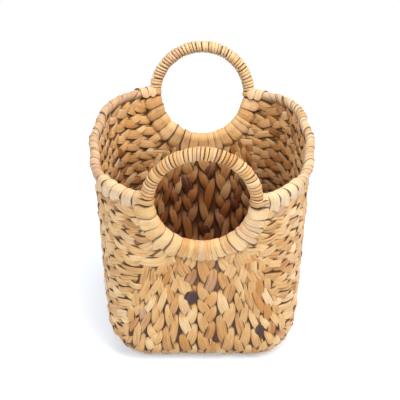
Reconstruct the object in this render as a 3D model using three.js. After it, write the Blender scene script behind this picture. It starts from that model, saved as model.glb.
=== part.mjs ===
import * as THREE from "three";

// A water hyacinth basket. Flat three-strand braids run lengthwise, side by side, round the
// floor and the two long walls, and up or across both ends to a round hoop at each end.
// Millimetres. X is across, Y runs from the front hoop to the back one, Z is up.

const radians = THREE.MathUtils.degToRad;

// The two hoops. Both ends lean outwards, and each hoop lies in its end.
const hoopRadius = 62; // to the middle of the rod
const hoopRodRadius = 4.6;
const hoopSpacing = 388; // between the hoops' middles
const hoopHeight = 218; // of their middles above the floor
const endLean = radians(9.7);

// The tub that the braids make, measured on its outside.
const topHalfWidth = 129.5; // at the height of the hoops' middles
const wallSlope = radians(4.9);
const wallBulge = 5; // how far a long wall swells at its middle
const baseCornerRadius = 45; // between floor and long wall
// Each end rounds off into walls and floor. Inwards is measured across the end from the tub's
// outline, and along is measured on the wall or floor, from the end's plane.
const floorRounding = { inwards: 24, along: 28 };
const baseCornerRounding = { inwards: 43, along: 70 };
const rimRounding = { inwards: 80, along: 132 };

// The braids. Each end of a braid that reaches a hoop is folded round its rod.
const braidThickness = 8;
const braidEdgeInset = 2.6; // the flat faces are this much narrower on each edge
const braidGap = 0.5; // between neighbours
const mitreGap = 1.2; // where a braid's end is tucked against another braid's edge
const floorBraidWidth = 21.4;
const floorShift = 5.5; // of the three middle braids, to the right
const rowsPerSide = 12;
const middleBraids = 3; // floor braids whose ends reach the hoop
// Floor braids that fan out beside the middle ones: how far from the hoop each one's outer edge
// starts, along the edge of the last side row that reaches the hoop.
const leftFanStarts = [11, 22, 33, 46];
const rightFanStarts = [8, 14, 18, 32];
const leftHoopRows = 5; // side rows whose ends reach the hoop
const rightHoopRows = 4;
const foldThickness = 2.7;
const foldClearance = 1.2; // round the rod
const foldTip = radians(318); // round the rod, from its side away from the hoop's middle
const foldRoot = radians(40);
const middleStartAngle = radians(67); // below level, on the left, where the middle folds begin
const rowFoldAngle = radians(12.6); // of the hoop that one side row's fold covers
const middleFoldAngle = radians(18.7);
const hoopApproach = 3; // from the folds' outside to where the flat braid starts
const wedgeTrim = 7; // where the first fanned braid starts in the wedge beside the middle braids
const tailShare = 0.9; // of the outermost fanned braid's edge, where the lowest row starts
const fanSpread = 0.5; // how far the fanned braids lean where they come to the outline

// The rims: a flat core braid over each long wall, with a strap wound round it.
const rimRise = 4.5; // of the core's middle above the hoops' middles
const rimCoreWidth = 6.5;
const rimCoreThickness = 4.5;
const rimLoops = 22;
const rimStrapWidth = 10;
const rimStrapThickness = 2;
const rimStrapClearance = 1.3; // between strap and core at the core's edges
const rimStrapLift = 1.9; // the same over its flat faces

// The handles: the upper part of each hoop, wound with a narrow strap.
const handleLoops = 24;
const handleStrapWidth = 4.9;
const handleStrapThickness = 2.6;
const handleStrapClearance = 1.3; // between strap and rod
const strapEndGap = 0.6; // between a strap's end and what it meets
const strapSides = 5;

// Steps of the curves.
const endSteps = 5;
const endStepEasing = 1.8; // they shorten towards the outline, where the surface turns
const wallSteps = 2;
const foldSteps = 7;
const loopSteps = 8;
const rodSides = 8;
const rodSteps = 36;

const straw = { color: 0xd9b27c, roughness: 0.75, metalness: 0 };
const paleStraw = { color: 0xe6c693, roughness: 0.7, metalness: 0 };
const cane = { color: 0xb98f5c, roughness: 0.6, metalness: 0 };

const foldOuterRadius = hoopRodRadius + foldClearance + foldThickness;
const approachRadius = hoopRadius + foldOuterRadius + hoopApproach;
const handleStrapRadius = hoopRodRadius + handleStrapClearance + handleStrapThickness / 2;
const rimRadiusAcross = rimCoreWidth / 2 + rimStrapClearance + rimStrapThickness / 2;
const rimRadiusThrough = rimCoreThickness / 2 + rimStrapLift + rimStrapThickness / 2;
const rimReach = rimRadiusAcross + rimStrapThickness / 2;

const vector = (x, y, z) => new THREE.Vector3(x, y, z);
const blend = (a, b, share) => a.clone().lerp(b, share);

// The front end's plane: across it is X, down it is endDown, out of it is endOut.
const endDown = vector(0, Math.sin(endLean), -Math.cos(endLean));
const endOut = vector(0, -Math.cos(endLean), -Math.sin(endLean));
const hoopMiddle = vector(0, -hoopSpacing / 2, hoopHeight);

function endPoint(across, down, out) {
  return hoopMiddle
    .clone()
    .add(vector(across, 0, 0))
    .addScaledVector(endDown, down)
    .addScaledVector(endOut, out);
}

// Direction from the hoop's middle: angle 0 is left, 90 degrees is down, 180 is right.
const hoopDirection = (angle) => new THREE.Vector2(-Math.cos(angle), Math.sin(angle));

// The tub's section across X and Z, as a floor, two round corners and two sloping walls.
const baseFlatHalf =
  topHalfWidth -
  baseCornerRadius * Math.cos(wallSlope) -
  (hoopHeight - baseCornerRadius * (1 - Math.sin(wallSlope))) * Math.tan(wallSlope);
const cornerSweep = Math.PI / 2 - wallSlope;
const wallStart = baseFlatHalf + baseCornerRadius * cornerSweep;

// The distance round the section at which a wall reaches a height.
function distanceAtHeight(height) {
  const cornerTop = baseCornerRadius * (1 - Math.sin(wallSlope));
  return wallStart + (height - cornerTop) / Math.cos(wallSlope);
}

// The section's point and outward normal at a distance from the floor's middle, right positive.
function sectionAt(distance) {
  const side = Math.sign(distance) || 1;
  const far = Math.abs(distance);
  const sweep = THREE.MathUtils.clamp((far - baseFlatHalf) / baseCornerRadius, 0, cornerSweep);
  const up = Math.max(0, far - wallStart);
  const x =
    Math.min(far, baseFlatHalf) + baseCornerRadius * Math.sin(sweep) + up * Math.sin(wallSlope);
  const z = baseCornerRadius * (1 - Math.cos(sweep)) + up * Math.cos(wallSlope);
  return { x: side * x, z, outX: side * Math.sin(sweep), outZ: -Math.cos(sweep) };
}

// How an end rounds off at a sweep of the base corner and a height of the wall.
function roundingAt(sweep, height) {
  const low = baseCornerRadius * (1 - Math.sin(wallSlope));
  const turned = sweep / cornerSweep;
  const risen = THREE.MathUtils.clamp((height - low) / (hoopHeight - low), 0, 1);
  const mix = (part) =>
    THREE.MathUtils.lerp(floorRounding[part], baseCornerRounding[part], turned) +
    risen * (rimRounding[part] - baseCornerRounding[part]);
  return { inwards: mix("inwards"), along: mix("along") };
}

// The nearest point of the section's outline to a place on the end: how deep the place lies
// inside it, and the outline's outward direction there.
function outlineNear(x, z) {
  const side = Math.sign(x) || 1;
  const acrossCorner = Math.abs(x) - baseFlatHalf;
  const belowCorner = baseCornerRadius - z;
  const sweep = Math.atan2(acrossCorner, belowCorner);
  if (acrossCorner > 0 && belowCorner > 0 && sweep <= cornerSweep) {
    const depth = baseCornerRadius - Math.hypot(acrossCorner, belowCorner);
    return { depth, sweep, out: vector(side * Math.sin(sweep), 0, -Math.cos(sweep)) };
  }
  const wallDepth =
    baseCornerRadius - acrossCorner * Math.cos(wallSlope) - belowCorner * Math.sin(wallSlope);
  if (acrossCorner <= 0 && z < wallDepth) {
    return { depth: z, sweep: 0, out: vector(0, 0, -1) };
  }
  const out = vector(side * Math.cos(wallSlope), 0, -Math.sin(wallSlope));
  return { depth: wallDepth, sweep: cornerSweep, out };
}

// The end's surface over a place across and up: its point and outward direction.
function endSurface(x, z, thickness) {
  const near = outlineNear(x, z);
  const rounding = roundingAt(near.sweep, z);
  const inwards = THREE.MathUtils.clamp(1 - near.depth / rounding.inwards, 0, 1);
  const turn = Math.acos(inwards);
  const flatReach =
    hoopSpacing / 2 + thickness / 2 / Math.cos(endLean) + (z - hoopHeight) * Math.tan(endLean);
  const y = rounding.along * (1 - Math.sin(turn)) - flatReach;
  const facing = Math.atan2(
    rounding.inwards * Math.sin(turn),
    rounding.along * Math.cos(turn),
  );
  const out = near.out
    .clone()
    .multiplyScalar(Math.cos(facing))
    .addScaledVector(endOut, Math.sin(facing))
    .normalize();
  return { point: vector(x, y, z), out, thickness };
}

// The straight stretch of an edge along the wall or floor, as far as the tub's middle.
function wallLine(distance, start) {
  const at = sectionAt(distance);
  const out = vector(at.outX, 0, at.outZ);
  const stations = [];
  for (let i = 1; i <= wallSteps; i++) {
    const share = i / wallSteps;
    const swell = wallBulge * Math.sin((share * Math.PI) / 2) ** 2 * at.outX;
    stations.push({
      point: vector(at.x + swell, start.point.y * (1 - share), at.z),
      out,
      thickness: start.thickness,
    });
  }
  return stations;
}

// The curve of an edge over the end, as places across and up, from its start to the outline.
function endCurve(distance, place, direction, arrival) {
  const at = sectionAt(distance);
  const end = new THREE.Vector2(at.x, at.z);
  const reach = place.distanceTo(end) / 3;
  return new THREE.CubicBezierCurve(
    place,
    place.clone().addScaledVector(direction, reach),
    end.clone().addScaledVector(arrival, -reach),
    end,
  );
}

// The folded end of an edge round the hoop's rod, from its tip to the flat braid.
function foldLine(angle) {
  const stations = [];
  for (let i = 0; i < foldSteps; i++) {
    const turn = THREE.MathUtils.lerp(foldTip, foldRoot, i / (foldSteps - 1));
    const direction = hoopDirection(angle);
    const reach = hoopRadius + foldOuterRadius * Math.cos(turn);
    const rise = foldOuterRadius * Math.sin(turn);
    const out = endPoint(direction.x, direction.y, 0)
      .sub(hoopMiddle)
      .multiplyScalar(Math.cos(turn))
      .addScaledVector(endOut, Math.sin(turn));
    stations.push({
      point: endPoint(direction.x * reach, direction.y * reach, rise),
      out,
      thickness: foldThickness,
    });
  }
  return stations;
}

// The direction in which a side row or a floor braid comes to the outline.
const rowArrival = (side) => new THREE.Vector2(side, 0);

function floorArrival(distance) {
  const at = sectionAt(distance);
  const lean = Math.atan2(at.outX, -at.outZ) * fanSpread;
  return new THREE.Vector2(Math.sin(lean), -Math.cos(lean));
}

// One edge between neighbours, from the front end to the tub's middle. start holds the angle of
// the hoop at which the edge is folded, or else the place where it begins, and its direction.
function edge(distance, start, arrival, thickness = braidThickness) {
  const onHoop = start.angle !== undefined;
  let { place, direction } = start;
  if (onHoop) {
    const flat = hoopDirection(start.angle);
    const root = endPoint(flat.x * approachRadius, flat.y * approachRadius, 0);
    place = new THREE.Vector2(root.x, root.z);
    direction ??= new THREE.Vector2(flat.x, -flat.y);
  }
  const curve = endCurve(distance, place, direction, arrival);
  const overEnd = [];
  for (let i = 0; i <= endSteps; i++) {
    const share = 1 - (1 - i / endSteps) ** endStepEasing;
    const flat = curve.getPoint(share);
    overEnd.push(endSurface(flat.x, flat.y, thickness));
  }
  const turned = overEnd[endSteps];
  const fold = onHoop ? foldLine(start.angle) : [];
  return { stations: [...fold, ...overEnd, ...wallLine(distance, turned)], curve };
}

// The place and direction of a curve at a distance from its start.
function curveFrom(curve, distance) {
  const share = distance / curve.getLength();
  return { place: curve.getPointAt(share), direction: curve.getTangentAt(share) };
}

// Where a curve comes down to a height.
function placeAtHeight(curve, height) {
  let low = 0;
  let high = 1;
  for (let i = 0; i < 30; i++) {
    const middle = (low + high) / 2;
    if (curve.getPoint(middle).y > height) {
      low = middle;
    } else {
      high = middle;
    }
  }
  return curve.getPoint(low);
}

// A solid from rings of points that follow one another, with flat ends.
function solidFrom(rings) {
  const sides = rings[0].length;
  const corners = rings.flat();
  const faces = [];
  for (let i = 0; i + 1 < rings.length; i++) {
    for (let k = 0; k < sides; k++) {
      const a = i * sides + k;
      const b = i * sides + ((k + 1) % sides);
      faces.push([a, a + sides, b + sides], [a, b + sides, b]);
    }
  }
  const last = (rings.length - 1) * sides;
  for (let k = 1; k + 1 < sides; k++) {
    faces.push([0, k, k + 1], [last, last + k + 1, last + k]);
  }
  const volume = faces.reduce(
    (sum, [a, b, c]) => sum + corners[a].dot(corners[b].clone().cross(corners[c])),
    0,
  );
  const geometry = new THREE.BufferGeometry().setFromPoints(corners);
  geometry.setIndex(faces.flatMap(([a, b, c]) => (volume > 0 ? [a, b, c] : [a, c, b])));
  geometry.computeVertexNormals();
  return geometry;
}

// The six-sided section of a braid between its two edges.
function braidSection(left, right, gap = braidGap) {
  const across = right.point.clone().sub(left.point).normalize();
  const a = left.point.clone().addScaledVector(across, gap / 2);
  const b = right.point.clone().addScaledVector(across, -gap / 2);
  const inset = Math.min(braidEdgeInset, a.distanceTo(b) / 4);
  const place = (corner, station, shift, depth) =>
    corner
      .clone()
      .addScaledVector(across, shift)
      .addScaledVector(station.out, -depth * station.thickness);
  return [
    place(a, left, 0, 0.5),
    place(a, left, inset, 0),
    place(b, right, -inset, 0),
    place(b, right, 0, 0.5),
    place(b, right, -inset, 1),
    place(a, left, inset, 1),
  ];
}

// Front sections, then the same mirrored to the back.
function throughout(frontRings) {
  const toBack = (point) => vector(point.x, -point.y, point.z);
  const backRings = frontRings.slice(0, -1).map((ring) => ring.map(toBack));
  return [...frontRings, ...backRings.reverse()];
}

const basket = new THREE.Group();

function addPiece(name, geometry, finish) {
  const piece = new THREE.Mesh(geometry, new THREE.MeshStandardMaterial(finish));
  piece.name = name;
  basket.add(piece);
  return piece;
}

function addBraid(name, left, right, finish = straw, gap = braidGap) {
  const rings = left.stations.map((station, i) => braidSection(station, right.stations[i], gap));
  addPiece(name, solidFrom(throughout(rings)), finish);
}

// The edges of one side's rows and fanned braids. middle is the edge of the nearest middle braid.
function layOutSide(side, hoopRows, fanStarts, firstAngle, middle) {
  const angleAt = (row) => firstAngle - side * row * rowFoldAngle;
  const topDistance = distanceAtHeight(hoopHeight + rimRise - rimReach - braidGap);
  const lastDistance = side * middle.distance + fanStarts.length * floorBraidWidth;
  const rowWidth = (topDistance - lastDistance) / rowsPerSide;
  const rowDistance = (row) => side * (topDistance - row * rowWidth);
  const level = rowArrival(side);

  const rows = [];
  for (let row = 0; row <= hoopRows; row++) {
    rows.push(edge(rowDistance(row), { angle: angleAt(row) }, level));
  }
  // The fanned braids are tucked under the last row that reaches the hoop, and the nearest one
  // begins in the wedge beside the middle braids.
  const wedge = curveFrom(middle.curve, wedgeTrim);
  const fan = [edge(middle.distance, wedge, floorArrival(middle.distance))];
  const lastRow = rows[hoopRows].curve;
  fanStarts.forEach((start, i) => {
    const { place } = curveFrom(lastRow, start);
    const distance = middle.distance + side * (i + 1) * floorBraidWidth;
    const aim = sectionAt(distance);
    const direction = new THREE.Vector2(aim.x, aim.z).sub(place).normalize();
    place.addScaledVector(direction, mitreGap);
    fan.push(edge(distance, { place, direction }, floorArrival(distance)));
  });
  // The lower rows are tucked against the outermost fanned braid.
  const slant = fan[fanStarts.length].curve;
  for (let row = hoopRows; row < rowsPerSide; row++) {
    const place = placeAtHeight(slant, sectionAt(rowDistance(row)).z);
    place.addScaledVector(level, mitreGap);
    rows.push(edge(rowDistance(row), { place, direction: level }, level));
  }
  const lowest = slant.getPoint(tailShare);
  const tail = { place: lowest.addScaledVector(level, mitreGap), direction: level };
  rows.push(edge(side * lastDistance, tail, floorArrival(side * lastDistance)));
  return { rows, fan, hoopRows };
}

function nameOf(side, kind, number) {
  return `${side < 0 ? "left" : "right"}_${kind}_${String(number).padStart(2, "0")}`;
}

function addSide(side, layout) {
  const pairs = [];
  for (let row = 0; row < rowsPerSide; row++) {
    const shift = row >= layout.hoopRows ? 1 : 0; // the last hoop row's lower edge is there twice
    pairs.push(["row", layout.rows[row + shift], layout.rows[row + shift + 1]]);
  }
  for (let i = layout.fan.length - 1; i > 0; i--) {
    pairs.push(["fan", layout.fan[i], layout.fan[i - 1]]);
  }
  const counts = { row: 0, fan: 0 };
  for (const [kind, outer, inner] of pairs) {
    counts[kind] += 1;
    const [left, right] = side < 0 ? [outer, inner] : [inner, outer];
    addBraid(nameOf(side, kind, counts[kind]), left, right);
  }
}

const middleEdges = [];
for (let i = 0; i <= middleBraids; i++) {
  const distance = floorShift + (i - middleBraids / 2) * floorBraidWidth;
  const down = new THREE.Vector2(0, -1);
  const start = { angle: middleStartAngle + i * middleFoldAngle, direction: down };
  middleEdges.push({ distance, ...edge(distance, start, floorArrival(distance)) });
}
for (let i = 0; i < middleBraids; i++) {
  addBraid(`middle_braid_0${i + 1}`, middleEdges[i], middleEdges[i + 1]);
}

const leftTopAngle = middleStartAngle - leftHoopRows * rowFoldAngle;
const middleEndAngle = middleStartAngle + middleBraids * middleFoldAngle;
const rightTopAngle = middleEndAngle + rightHoopRows * rowFoldAngle;
addSide(-1, layOutSide(-1, leftHoopRows, leftFanStarts, leftTopAngle, middleEdges[0]));
const lastMiddle = middleEdges[middleBraids];
addSide(1, layOutSide(1, rightHoopRows, rightFanStarts, rightTopAngle, lastMiddle));

// A strap wound round a core. wrap gives the point at a distance along the core, at an angle
// round it and a height above its middle line. The strap's ends run along the core.
function strapRings(wrap, length, loops, girthRadius, width, thickness) {
  const path = [new THREE.Vector2(0, 0)];
  const woundLength = length - 2 * width;
  for (let i = 0; i <= loops * loopSteps; i++) {
    const share = i / (loops * loopSteps);
    const around = share * loops * 2 * Math.PI * girthRadius;
    path.push(new THREE.Vector2(width + share * woundLength, around));
  }
  path.push(new THREE.Vector2(length, path[path.length - 1].y));
  return path.map((place, i) => {
    const ahead = path[Math.min(i + 1, path.length - 1)];
    const behind = path[Math.max(i - 1, 0)];
    const along = ahead.clone().sub(behind).normalize();
    const ring = [];
    for (let k = 0; k < strapSides; k++) {
      const turn = Math.PI / 2 + (k * 2 * Math.PI) / strapSides;
      const sideways = (width / 2) * Math.cos(turn);
      const lift = (thickness / 2) * Math.sin(turn);
      const s = place.x - along.y * sideways;
      const q = place.y + along.x * sideways;
      ring.push(wrap(s, q / girthRadius, lift));
    }
    return ring;
  });
}

// The least distance between points of a strap's rings that lie about a loop apart or more.
function leastGap(rings) {
  const middles = rings.map((ring) =>
    ring.flatMap((point, k) => [point, blend(point, ring[(k + 1) % ring.length], 0.5)]),
  );
  let least = Infinity;
  for (let i = 0; i < middles.length; i++) {
    for (let j = i + loopSteps - 2; j < middles.length; j++) {
      for (const a of middles[i]) {
        for (const b of middles[j]) {
          least = Math.min(least, a.distanceToSquared(b));
        }
      }
    }
  }
  return Math.sqrt(least);
}

function addStrap(name, rings) {
  addPiece(name, solidFrom(rings), paleStraw);
  console.log(`${name}: least gap to itself ${leastGap(rings).toFixed(2)} mm`);
}

// The rims.
const rimFoldAngle = rimCoreWidth / approachRadius;
const rimAngle = (rimReach + 2 * braidGap) / approachRadius;
const rimDistance = distanceAtHeight(hoopHeight + rimRise);

function rimEdges(side) {
  const topAngle = side < 0 ? leftTopAngle : rightTopAngle;
  const edgeAt = (share) =>
    edge(
      side * (rimDistance - share * rimCoreWidth),
      { angle: topAngle + side * (rimAngle - share * rimFoldAngle), direction: rowArrival(side) },
      rowArrival(side),
      rimCoreThickness,
    );
  const [upper, lower] = [edgeAt(-0.5), edgeAt(0.5)];
  return side < 0 ? [upper, lower] : [lower, upper];
}

// The rim core's middle line, from where the flat core leaves the front hoop to the back one.
function rimFrames(left, right) {
  const front = left.stations.slice(foldSteps).map((station, i) => {
    const other = right.stations[foldSteps + i];
    const out = station.out.clone().add(other.out).normalize();
    return {
      middle: blend(station.point, other.point, 0.5).addScaledVector(out, -rimCoreThickness / 2),
      across: other.point.clone().sub(station.point).normalize(),
      out,
    };
  });
  const mirrored = (v) => vector(v.x, -v.y, v.z);
  const back = front.slice(0, -1).map((f) => ({
    middle: mirrored(f.middle),
    across: mirrored(f.across),
    out: mirrored(f.out),
  }));
  return [...front, ...back.reverse()];
}

function rimWrap(frames) {
  const reached = [0];
  for (let i = 1; i < frames.length; i++) {
    reached.push(reached[i - 1] + frames[i].middle.distanceTo(frames[i - 1].middle));
  }
  const wrap = (s, angle, lift) => {
    const next = reached.findIndex((length) => length > s);
    const i = next < 0 ? frames.length - 1 : next;
    const share = (s - reached[i - 1]) / (reached[i] - reached[i - 1]);
    const [before, after] = [frames[i - 1], frames[i]];
    const across = blend(before.across, after.across, share).normalize();
    const out = blend(before.out, after.out, share).normalize();
    return blend(before.middle, after.middle, share)
      .addScaledVector(across, (rimRadiusAcross + lift) * Math.cos(angle))
      .addScaledVector(out, (rimRadiusThrough + lift) * Math.sin(angle));
  };
  return { wrap, length: reached[reached.length - 1] };
}

for (const side of [-1, 1]) {
  const [left, right] = rimEdges(side);
  const name = side < 0 ? "left" : "right";
  addBraid(`${name}_rim_core`, left, right, straw, 0);
  const { wrap, length } = rimWrap(rimFrames(left, right));
  const girth = (rimRadiusAcross + rimRadiusThrough) / 2;
  const start = foldOuterRadius / 2;
  const inset = (s, angle, lift) => wrap(s + start, angle, lift);
  addStrap(
    `${name}_rim_strap`,
    strapRings(inset, length - 2 * start, rimLoops, girth, rimStrapWidth, rimStrapThickness),
  );
}

// The hoops and their handles' straps.
const handleMargin = rimAngle + rimFoldAngle / 2 + strapEndGap / hoopRadius;
const handleStart = leftTopAngle - handleMargin;
const handleSweep = 2 * Math.PI - (rightTopAngle + handleMargin) + handleStart;

function handleWrap(s, angle, lift) {
  const direction = hoopDirection(handleStart - s / hoopRadius);
  const reach = hoopRadius + (handleStrapRadius + lift) * Math.cos(angle);
  const out = (handleStrapRadius + lift) * Math.sin(angle);
  return endPoint(direction.x * reach, direction.y * reach, out);
}

for (const [name, end] of [
  ["front", -1],
  ["back", 1],
]) {
  const rod = new THREE.TorusGeometry(hoopRadius, hoopRodRadius, rodSides, rodSteps);
  const hoop = addPiece(`${name}_hoop`, rod, cane);
  hoop.position.set(0, (end * hoopSpacing) / 2, hoopHeight);
  hoop.rotation.x = -end * (Math.PI / 2 + endLean);

  const facing = (s, angle, lift) => {
    const point = handleWrap(s, angle, lift);
    return vector(point.x, -end * point.y, point.z);
  };
  addStrap(
    `${name}_handle_strap`,
    strapRings(
      facing,
      handleSweep * hoopRadius,
      handleLoops,
      handleStrapRadius,
      handleStrapWidth,
      handleStrapThickness,
    ),
  );
}

export default basket;
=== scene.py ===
import math

import bmesh
import bpy
import numpy as np
from mathutils import Matrix, Vector


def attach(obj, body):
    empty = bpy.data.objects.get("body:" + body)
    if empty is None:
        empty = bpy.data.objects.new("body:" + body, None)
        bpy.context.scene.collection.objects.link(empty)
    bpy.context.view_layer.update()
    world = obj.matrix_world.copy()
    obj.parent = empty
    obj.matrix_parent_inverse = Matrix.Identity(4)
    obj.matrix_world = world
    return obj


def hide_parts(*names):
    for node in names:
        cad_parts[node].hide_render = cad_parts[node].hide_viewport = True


# A water hyacinth basket: plaits of dried leaf laid side by side, folded round two hoops.
# Lengths are millimetres, and each mesh is made metres as it is finished.
# X is across, Y runs from the front hoop to the back one, and Z is up.

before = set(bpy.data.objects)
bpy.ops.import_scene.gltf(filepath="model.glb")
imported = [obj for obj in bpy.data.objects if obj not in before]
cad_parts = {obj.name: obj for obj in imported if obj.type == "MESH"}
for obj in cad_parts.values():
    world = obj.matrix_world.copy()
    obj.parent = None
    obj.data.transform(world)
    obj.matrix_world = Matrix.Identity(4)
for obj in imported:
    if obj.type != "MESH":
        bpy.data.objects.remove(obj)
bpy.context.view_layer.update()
print("frame loaded,", len(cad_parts), "nodes")

millimetre = 0.001

# The shape that the plaits follow, as the frame has it.
tub = {
    "hoopRadius": 62,
    "hoopSpacing": 388,
    "hoopHeight": 218,
    "endLean": math.radians(9.7),
    "topHalfWidth": 129.5,
    "wallSlope": math.radians(4.9),
    "wallBulge": 5,
    "cornerRadius": 45,
    "floorRounding": (24, 28),
    "cornerRounding": (43, 70),
    "rimRounding": (80, 132),
    "thickness": 8,
    "mitreGap": 1.2,
    "floorWidth": 21.4,
    "floorShift": 5.5,
    "rowsPerSide": 12,
    "middleCount": 3,
    "fanStarts": {-1: (11, 22, 33, 46), 1: (8, 14, 18, 32)},
    "hoopRows": {-1: 5, 1: 4},
    "middleStartAngle": math.radians(67),
    "rowFoldAngle": math.radians(12.6),
    "middleFoldAngle": math.radians(18.7),
    "approachRadius": 73.5,
    "wedgeTrim": 7,
    "tailShare": 0.9,
    "fanSpread": 0.5,
    "rimRise": 4.5,
    "rimCoreWidth": 6.5,
    "rimCoreThickness": 4.5,
    "rimReach": 6.55,
    "gap": 0.5,
    "tuckDepth": 0.2,
    "endSamples": 44,
    "endBunching": 1.8,
    "wallSamples": 44,
    "curveSamples": 201,
    "heightSamples": 801,
}


def unit(vectors):
    return vectors / np.maximum(np.linalg.norm(vectors, axis=-1, keepdims=True), 1e-9)


def mixed(a, b, share):
    return a + (b - a) * share


# How far a value has gone from one bound towards another, from 0 to 1.
def shareBetween(value, start, end):
    return np.clip((value - start) / (end - start), 0, 1)


# How far along a path each of its points lies.
def distancesAlong(points):
    steps = np.linalg.norm(np.diff(points, axis=0), axis=1)
    return np.concatenate([[0], np.cumsum(steps)])


# Rows of values that are known along a path, at other places on it.
def valuesAt(places, along, rows):
    if rows.ndim == 1:
        return np.interp(places, along, rows)
    return np.stack([np.interp(places, along, column) for column in rows.T], -1)


# A path with its bends eased and its ends kept.
def eased(path, rounds):
    path = path.copy()
    for _ in range(rounds):
        path[1:-1] = (path[:-2] + 2 * path[1:-1] + path[2:]) / 4
    return path


# A width that grows from a tip as a quarter circle does.
def roundTip(share, least):
    return np.sqrt(1 - (1 - np.clip(share, least, 1)) ** 2)


# The front end's plane: across it is X, down it is endDown, out of it is endOut.
lean = tub["endLean"]
endDown = np.array([0, math.sin(lean), -math.cos(lean)])
endOut = np.array([0, -math.cos(lean), -math.sin(lean)])
hoopMiddle = np.array([0, -tub["hoopSpacing"] / 2, tub["hoopHeight"]])

wallTilt = tub["wallSlope"]
cornerTop = tub["cornerRadius"] * (1 - math.sin(wallTilt))
baseFlatHalf = (
    tub["topHalfWidth"]
    - tub["cornerRadius"] * math.cos(wallTilt)
    - (tub["hoopHeight"] - cornerTop) * math.tan(wallTilt)
)
cornerSweep = math.pi / 2 - wallTilt
wallStart = baseFlatHalf + tub["cornerRadius"] * cornerSweep


def endPoint(across, down, out):
    across, down, out = np.broadcast_arrays(across, down, out)
    return hoopMiddle + np.stack([across, 0 * across, 0 * across], -1) + (
        down[..., None] * endDown + out[..., None] * endOut
    )


# Angle 0 is left of the hoop's middle, 90 degrees is below it, 180 is right of it.
def hoopDirection(angle):
    return -math.cos(angle), math.sin(angle)


def distanceAtHeight(height):
    return wallStart + (height - cornerTop) / math.cos(wallTilt)


# The section across the tub: floor, round corner and sloping wall, by distance round it.
def sectionAt(distance):
    side = -1 if distance < 0 else 1
    far = abs(distance)
    sweep = min(max((far - baseFlatHalf) / tub["cornerRadius"], 0), cornerSweep)
    up = max(0, far - wallStart)
    x = min(far, baseFlatHalf) + tub["cornerRadius"] * math.sin(sweep) + up * math.sin(wallTilt)
    z = tub["cornerRadius"] * (1 - math.cos(sweep)) + up * math.cos(wallTilt)
    return side * x, z, side * math.sin(sweep), -math.cos(sweep)


# The end as a surface over places across and up: its points and outward directions.
def endSurface(x, z, thickness):
    radius = tub["cornerRadius"]
    side = np.where(x < 0, -1.0, 1.0)
    pastFlat = np.abs(x) - baseFlatHalf
    belowCorner = radius - z
    sweep = np.arctan2(pastFlat, belowCorner)
    inCorner = (pastFlat > 0) & (belowCorner > 0) & (sweep <= cornerSweep)
    wallDepth = radius - pastFlat * math.cos(wallTilt) - belowCorner * math.sin(wallTilt)
    onFloor = ~inCorner & (pastFlat <= 0) & (z < wallDepth)
    cornerDepth = radius - np.hypot(pastFlat, belowCorner)
    depth = np.where(inCorner, cornerDepth, np.where(onFloor, z, wallDepth))
    turned = np.where(inCorner, sweep, np.where(onFloor, 0, cornerSweep))
    outline = np.stack([side * np.sin(turned), 0 * x, -np.cos(turned)], -1)
    risen = shareBetween(z, cornerTop, tub["hoopHeight"])
    inwards, along = (
        mixed(tub["floorRounding"][i], tub["cornerRounding"][i], turned / cornerSweep)
        + risen * (tub["rimRounding"][i] - tub["cornerRounding"][i])
        for i in (0, 1)
    )
    turn = np.arccos(np.clip(1 - depth / inwards, 0, 1))
    flatReach = (
        tub["hoopSpacing"] / 2
        + thickness / 2 / math.cos(lean)
        + (z - tub["hoopHeight"]) * math.tan(lean)
    )
    y = along * (1 - np.sin(turn)) - flatReach
    facing = np.arctan2(inwards * np.sin(turn), along * np.cos(turn))[..., None]
    out = unit(outline * np.cos(facing) + endOut * np.sin(facing))
    return np.stack([x, y, z], -1), out


def bezier(corners, share):
    a, b, c, d = (np.asarray(corner, float) for corner in corners)
    t = np.asarray(share, float)[..., None]
    return (1 - t) ** 3 * a + 3 * (1 - t) ** 2 * t * b + 3 * (1 - t) * t**2 * c + t**3 * d


# The place and direction of a curve at a distance from its start.
def curveFrom(corners, distance):
    shares = np.linspace(0, 1, tub["curveSamples"])
    share = np.interp(distance, distancesAlong(bezier(corners, shares)), shares)
    place = bezier(corners, share)
    return place, unit(bezier(corners, share + 0.01) - place)


def placeAtHeight(corners, height):
    points = bezier(corners, np.linspace(0, 1, tub["heightSamples"]))
    return points[np.argmin(np.abs(points[:, 1] - height))]


def floorArrival(distance):
    outX, outZ = sectionAt(distance)[2:]
    turn = math.atan2(outX, -outZ) * tub["fanSpread"]
    return np.array([math.sin(turn), -math.cos(turn)])


# One edge between neighbours, from the front end to the tub's middle.
def edgeLine(distance, arrival, angle=None, place=None, direction=None, thickness=None):
    thickness = thickness or tub["thickness"]
    if angle is not None:
        across, down = hoopDirection(angle)
        root = endPoint(across * tub["approachRadius"], down * tub["approachRadius"], 0)
        place = np.array([root[0], root[2]])
        if direction is None:
            direction = np.array([across, -down])
    x, z, outX, outZ = sectionAt(distance)
    finish = np.array([x, z])
    reach = np.linalg.norm(finish - place) / 3
    corners = (place, place + direction * reach, finish - arrival * reach, finish)
    share = 1 - (1 - np.linspace(0, 1, tub["endSamples"])) ** tub["endBunching"]
    flat = bezier(corners, share)
    points, outs = endSurface(flat[:, 0], flat[:, 1], thickness)
    share = np.linspace(0, 1, tub["wallSamples"])[1:]
    swell = tub["wallBulge"] * np.sin(share * math.pi / 2) ** 2 * outX
    level = np.stack([x + swell, points[-1, 1] * (1 - share), z + 0 * share], -1)
    wallOuts = np.tile([outX, 0, outZ], (len(share), 1))
    return {
        "distance": distance,
        "angle": angle,
        "corners": corners,
        "points": np.concatenate([points, level]),
        "outs": np.concatenate([outs, wallOuts]),
    }


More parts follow.
